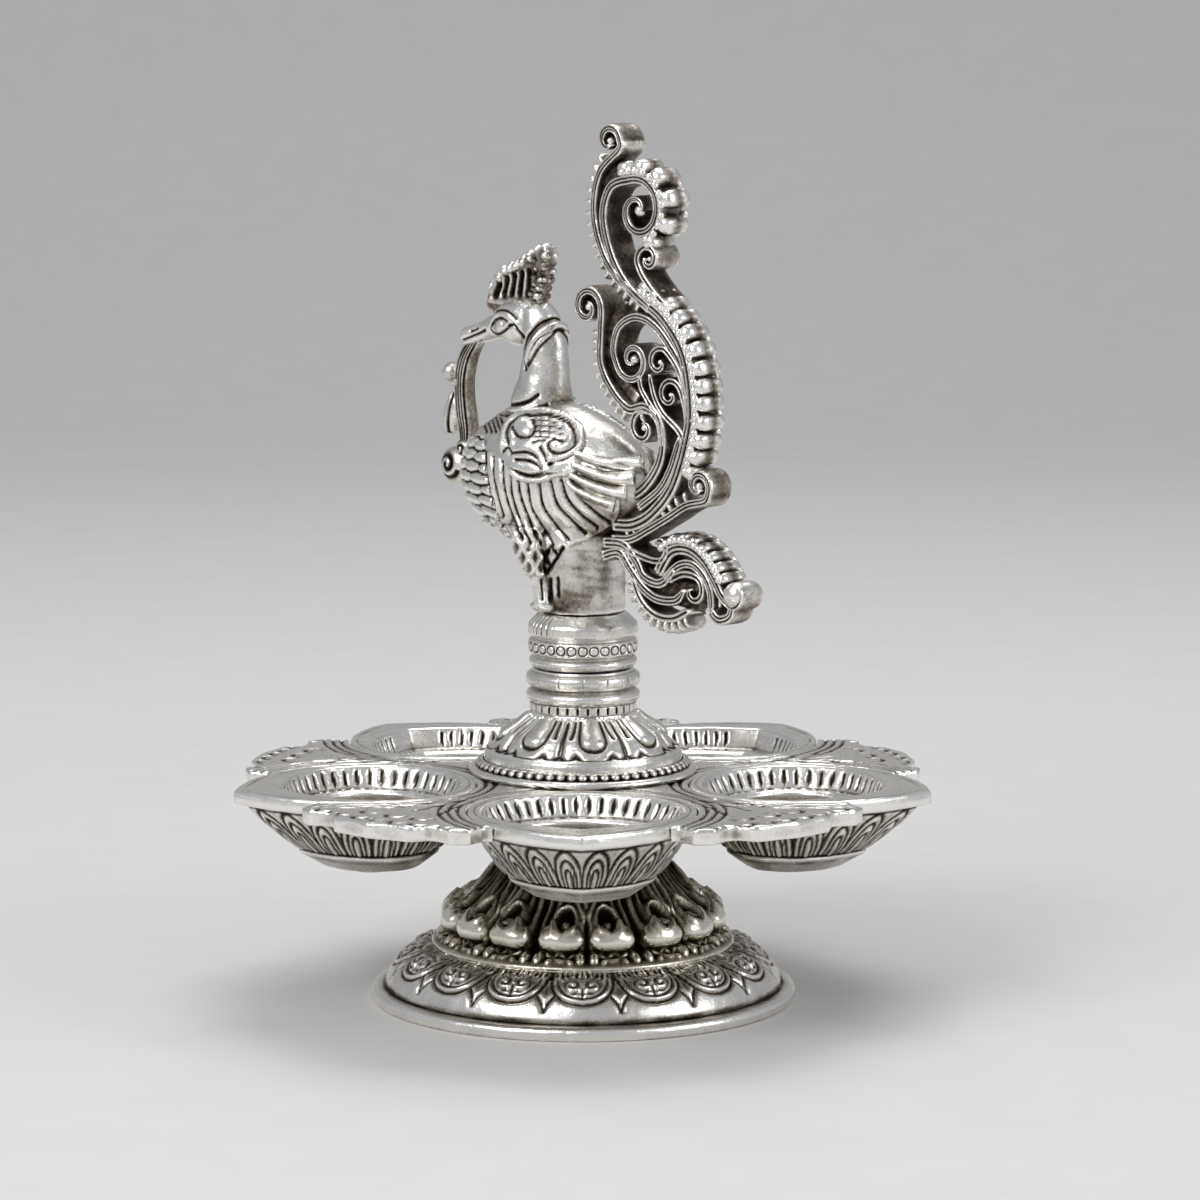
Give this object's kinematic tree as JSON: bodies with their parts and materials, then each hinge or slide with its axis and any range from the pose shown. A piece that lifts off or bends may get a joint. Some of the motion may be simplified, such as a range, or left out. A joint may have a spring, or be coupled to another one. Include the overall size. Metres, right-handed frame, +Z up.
{
  "type": "oil lamp",
  "caption": "Peacock oil lamp in oxidised silver metal: pointed oil cups and leaves on a tray over a lobed bell foot, with a pierced scroll tail.",
  "frame": {"origin": "centre of the foot's underside on the table, on the axis of the stack", "axes": "+Z up along the stack's axis; one oil cup points along -Y; the peacock faces between -X and +Y"},
  "size_m": [0.1426, 0.1475, 0.1828],
  "materials": {
    "plated_metal": "worn bright silver plate",
    "oxidised_metal": "silver plate with blackened recesses",
    "steel": "plain"
  },
  "bodies": {
    "foot": {"foot_rim": "plated_metal", "foot_dome": "oxidised_metal", "bell_stem": "oxidised_metal"},
    "tray": {"tray_plate": "plated_metal", "cup_1": "oxidised_metal", "cup_2": "oxidised_metal", "cup_3": "oxidised_metal", "cup_4": "oxidised_metal", "cup_5": "oxidised_metal", "boss_dome": "plated_metal", "beaded_ring": "oxidised_metal", "fluted_collar": "oxidised_metal", "ring_collar": "plated_metal"},
    "figure": {"pedestal": "plated_metal", "plinth": "plated_metal", "bird_body": "oxidised_metal", "left_wing": "plated_metal", "right_wing": "plated_metal", "crest": "oxidised_metal", "beak_vine": "oxidised_metal", "tail_fan": "oxidised_metal", "tail_drop": "oxidised_metal", "tie_rod": "steel", "washer": "steel", "clamp_nut": "steel"}
  },
  "joints": [
    {"name": "tray_turn", "type": "hinge", "parent": "foot", "child": "tray", "pos_m": [0, 0, 0.0436], "axis": [0, 0, 1], "continuous": true},
    {"name": "figure_turn", "type": "hinge", "parent": "tray", "child": "figure", "pos_m": [0, 0, 0.07], "axis": [0, 0, 1], "continuous": true}
  ]
}
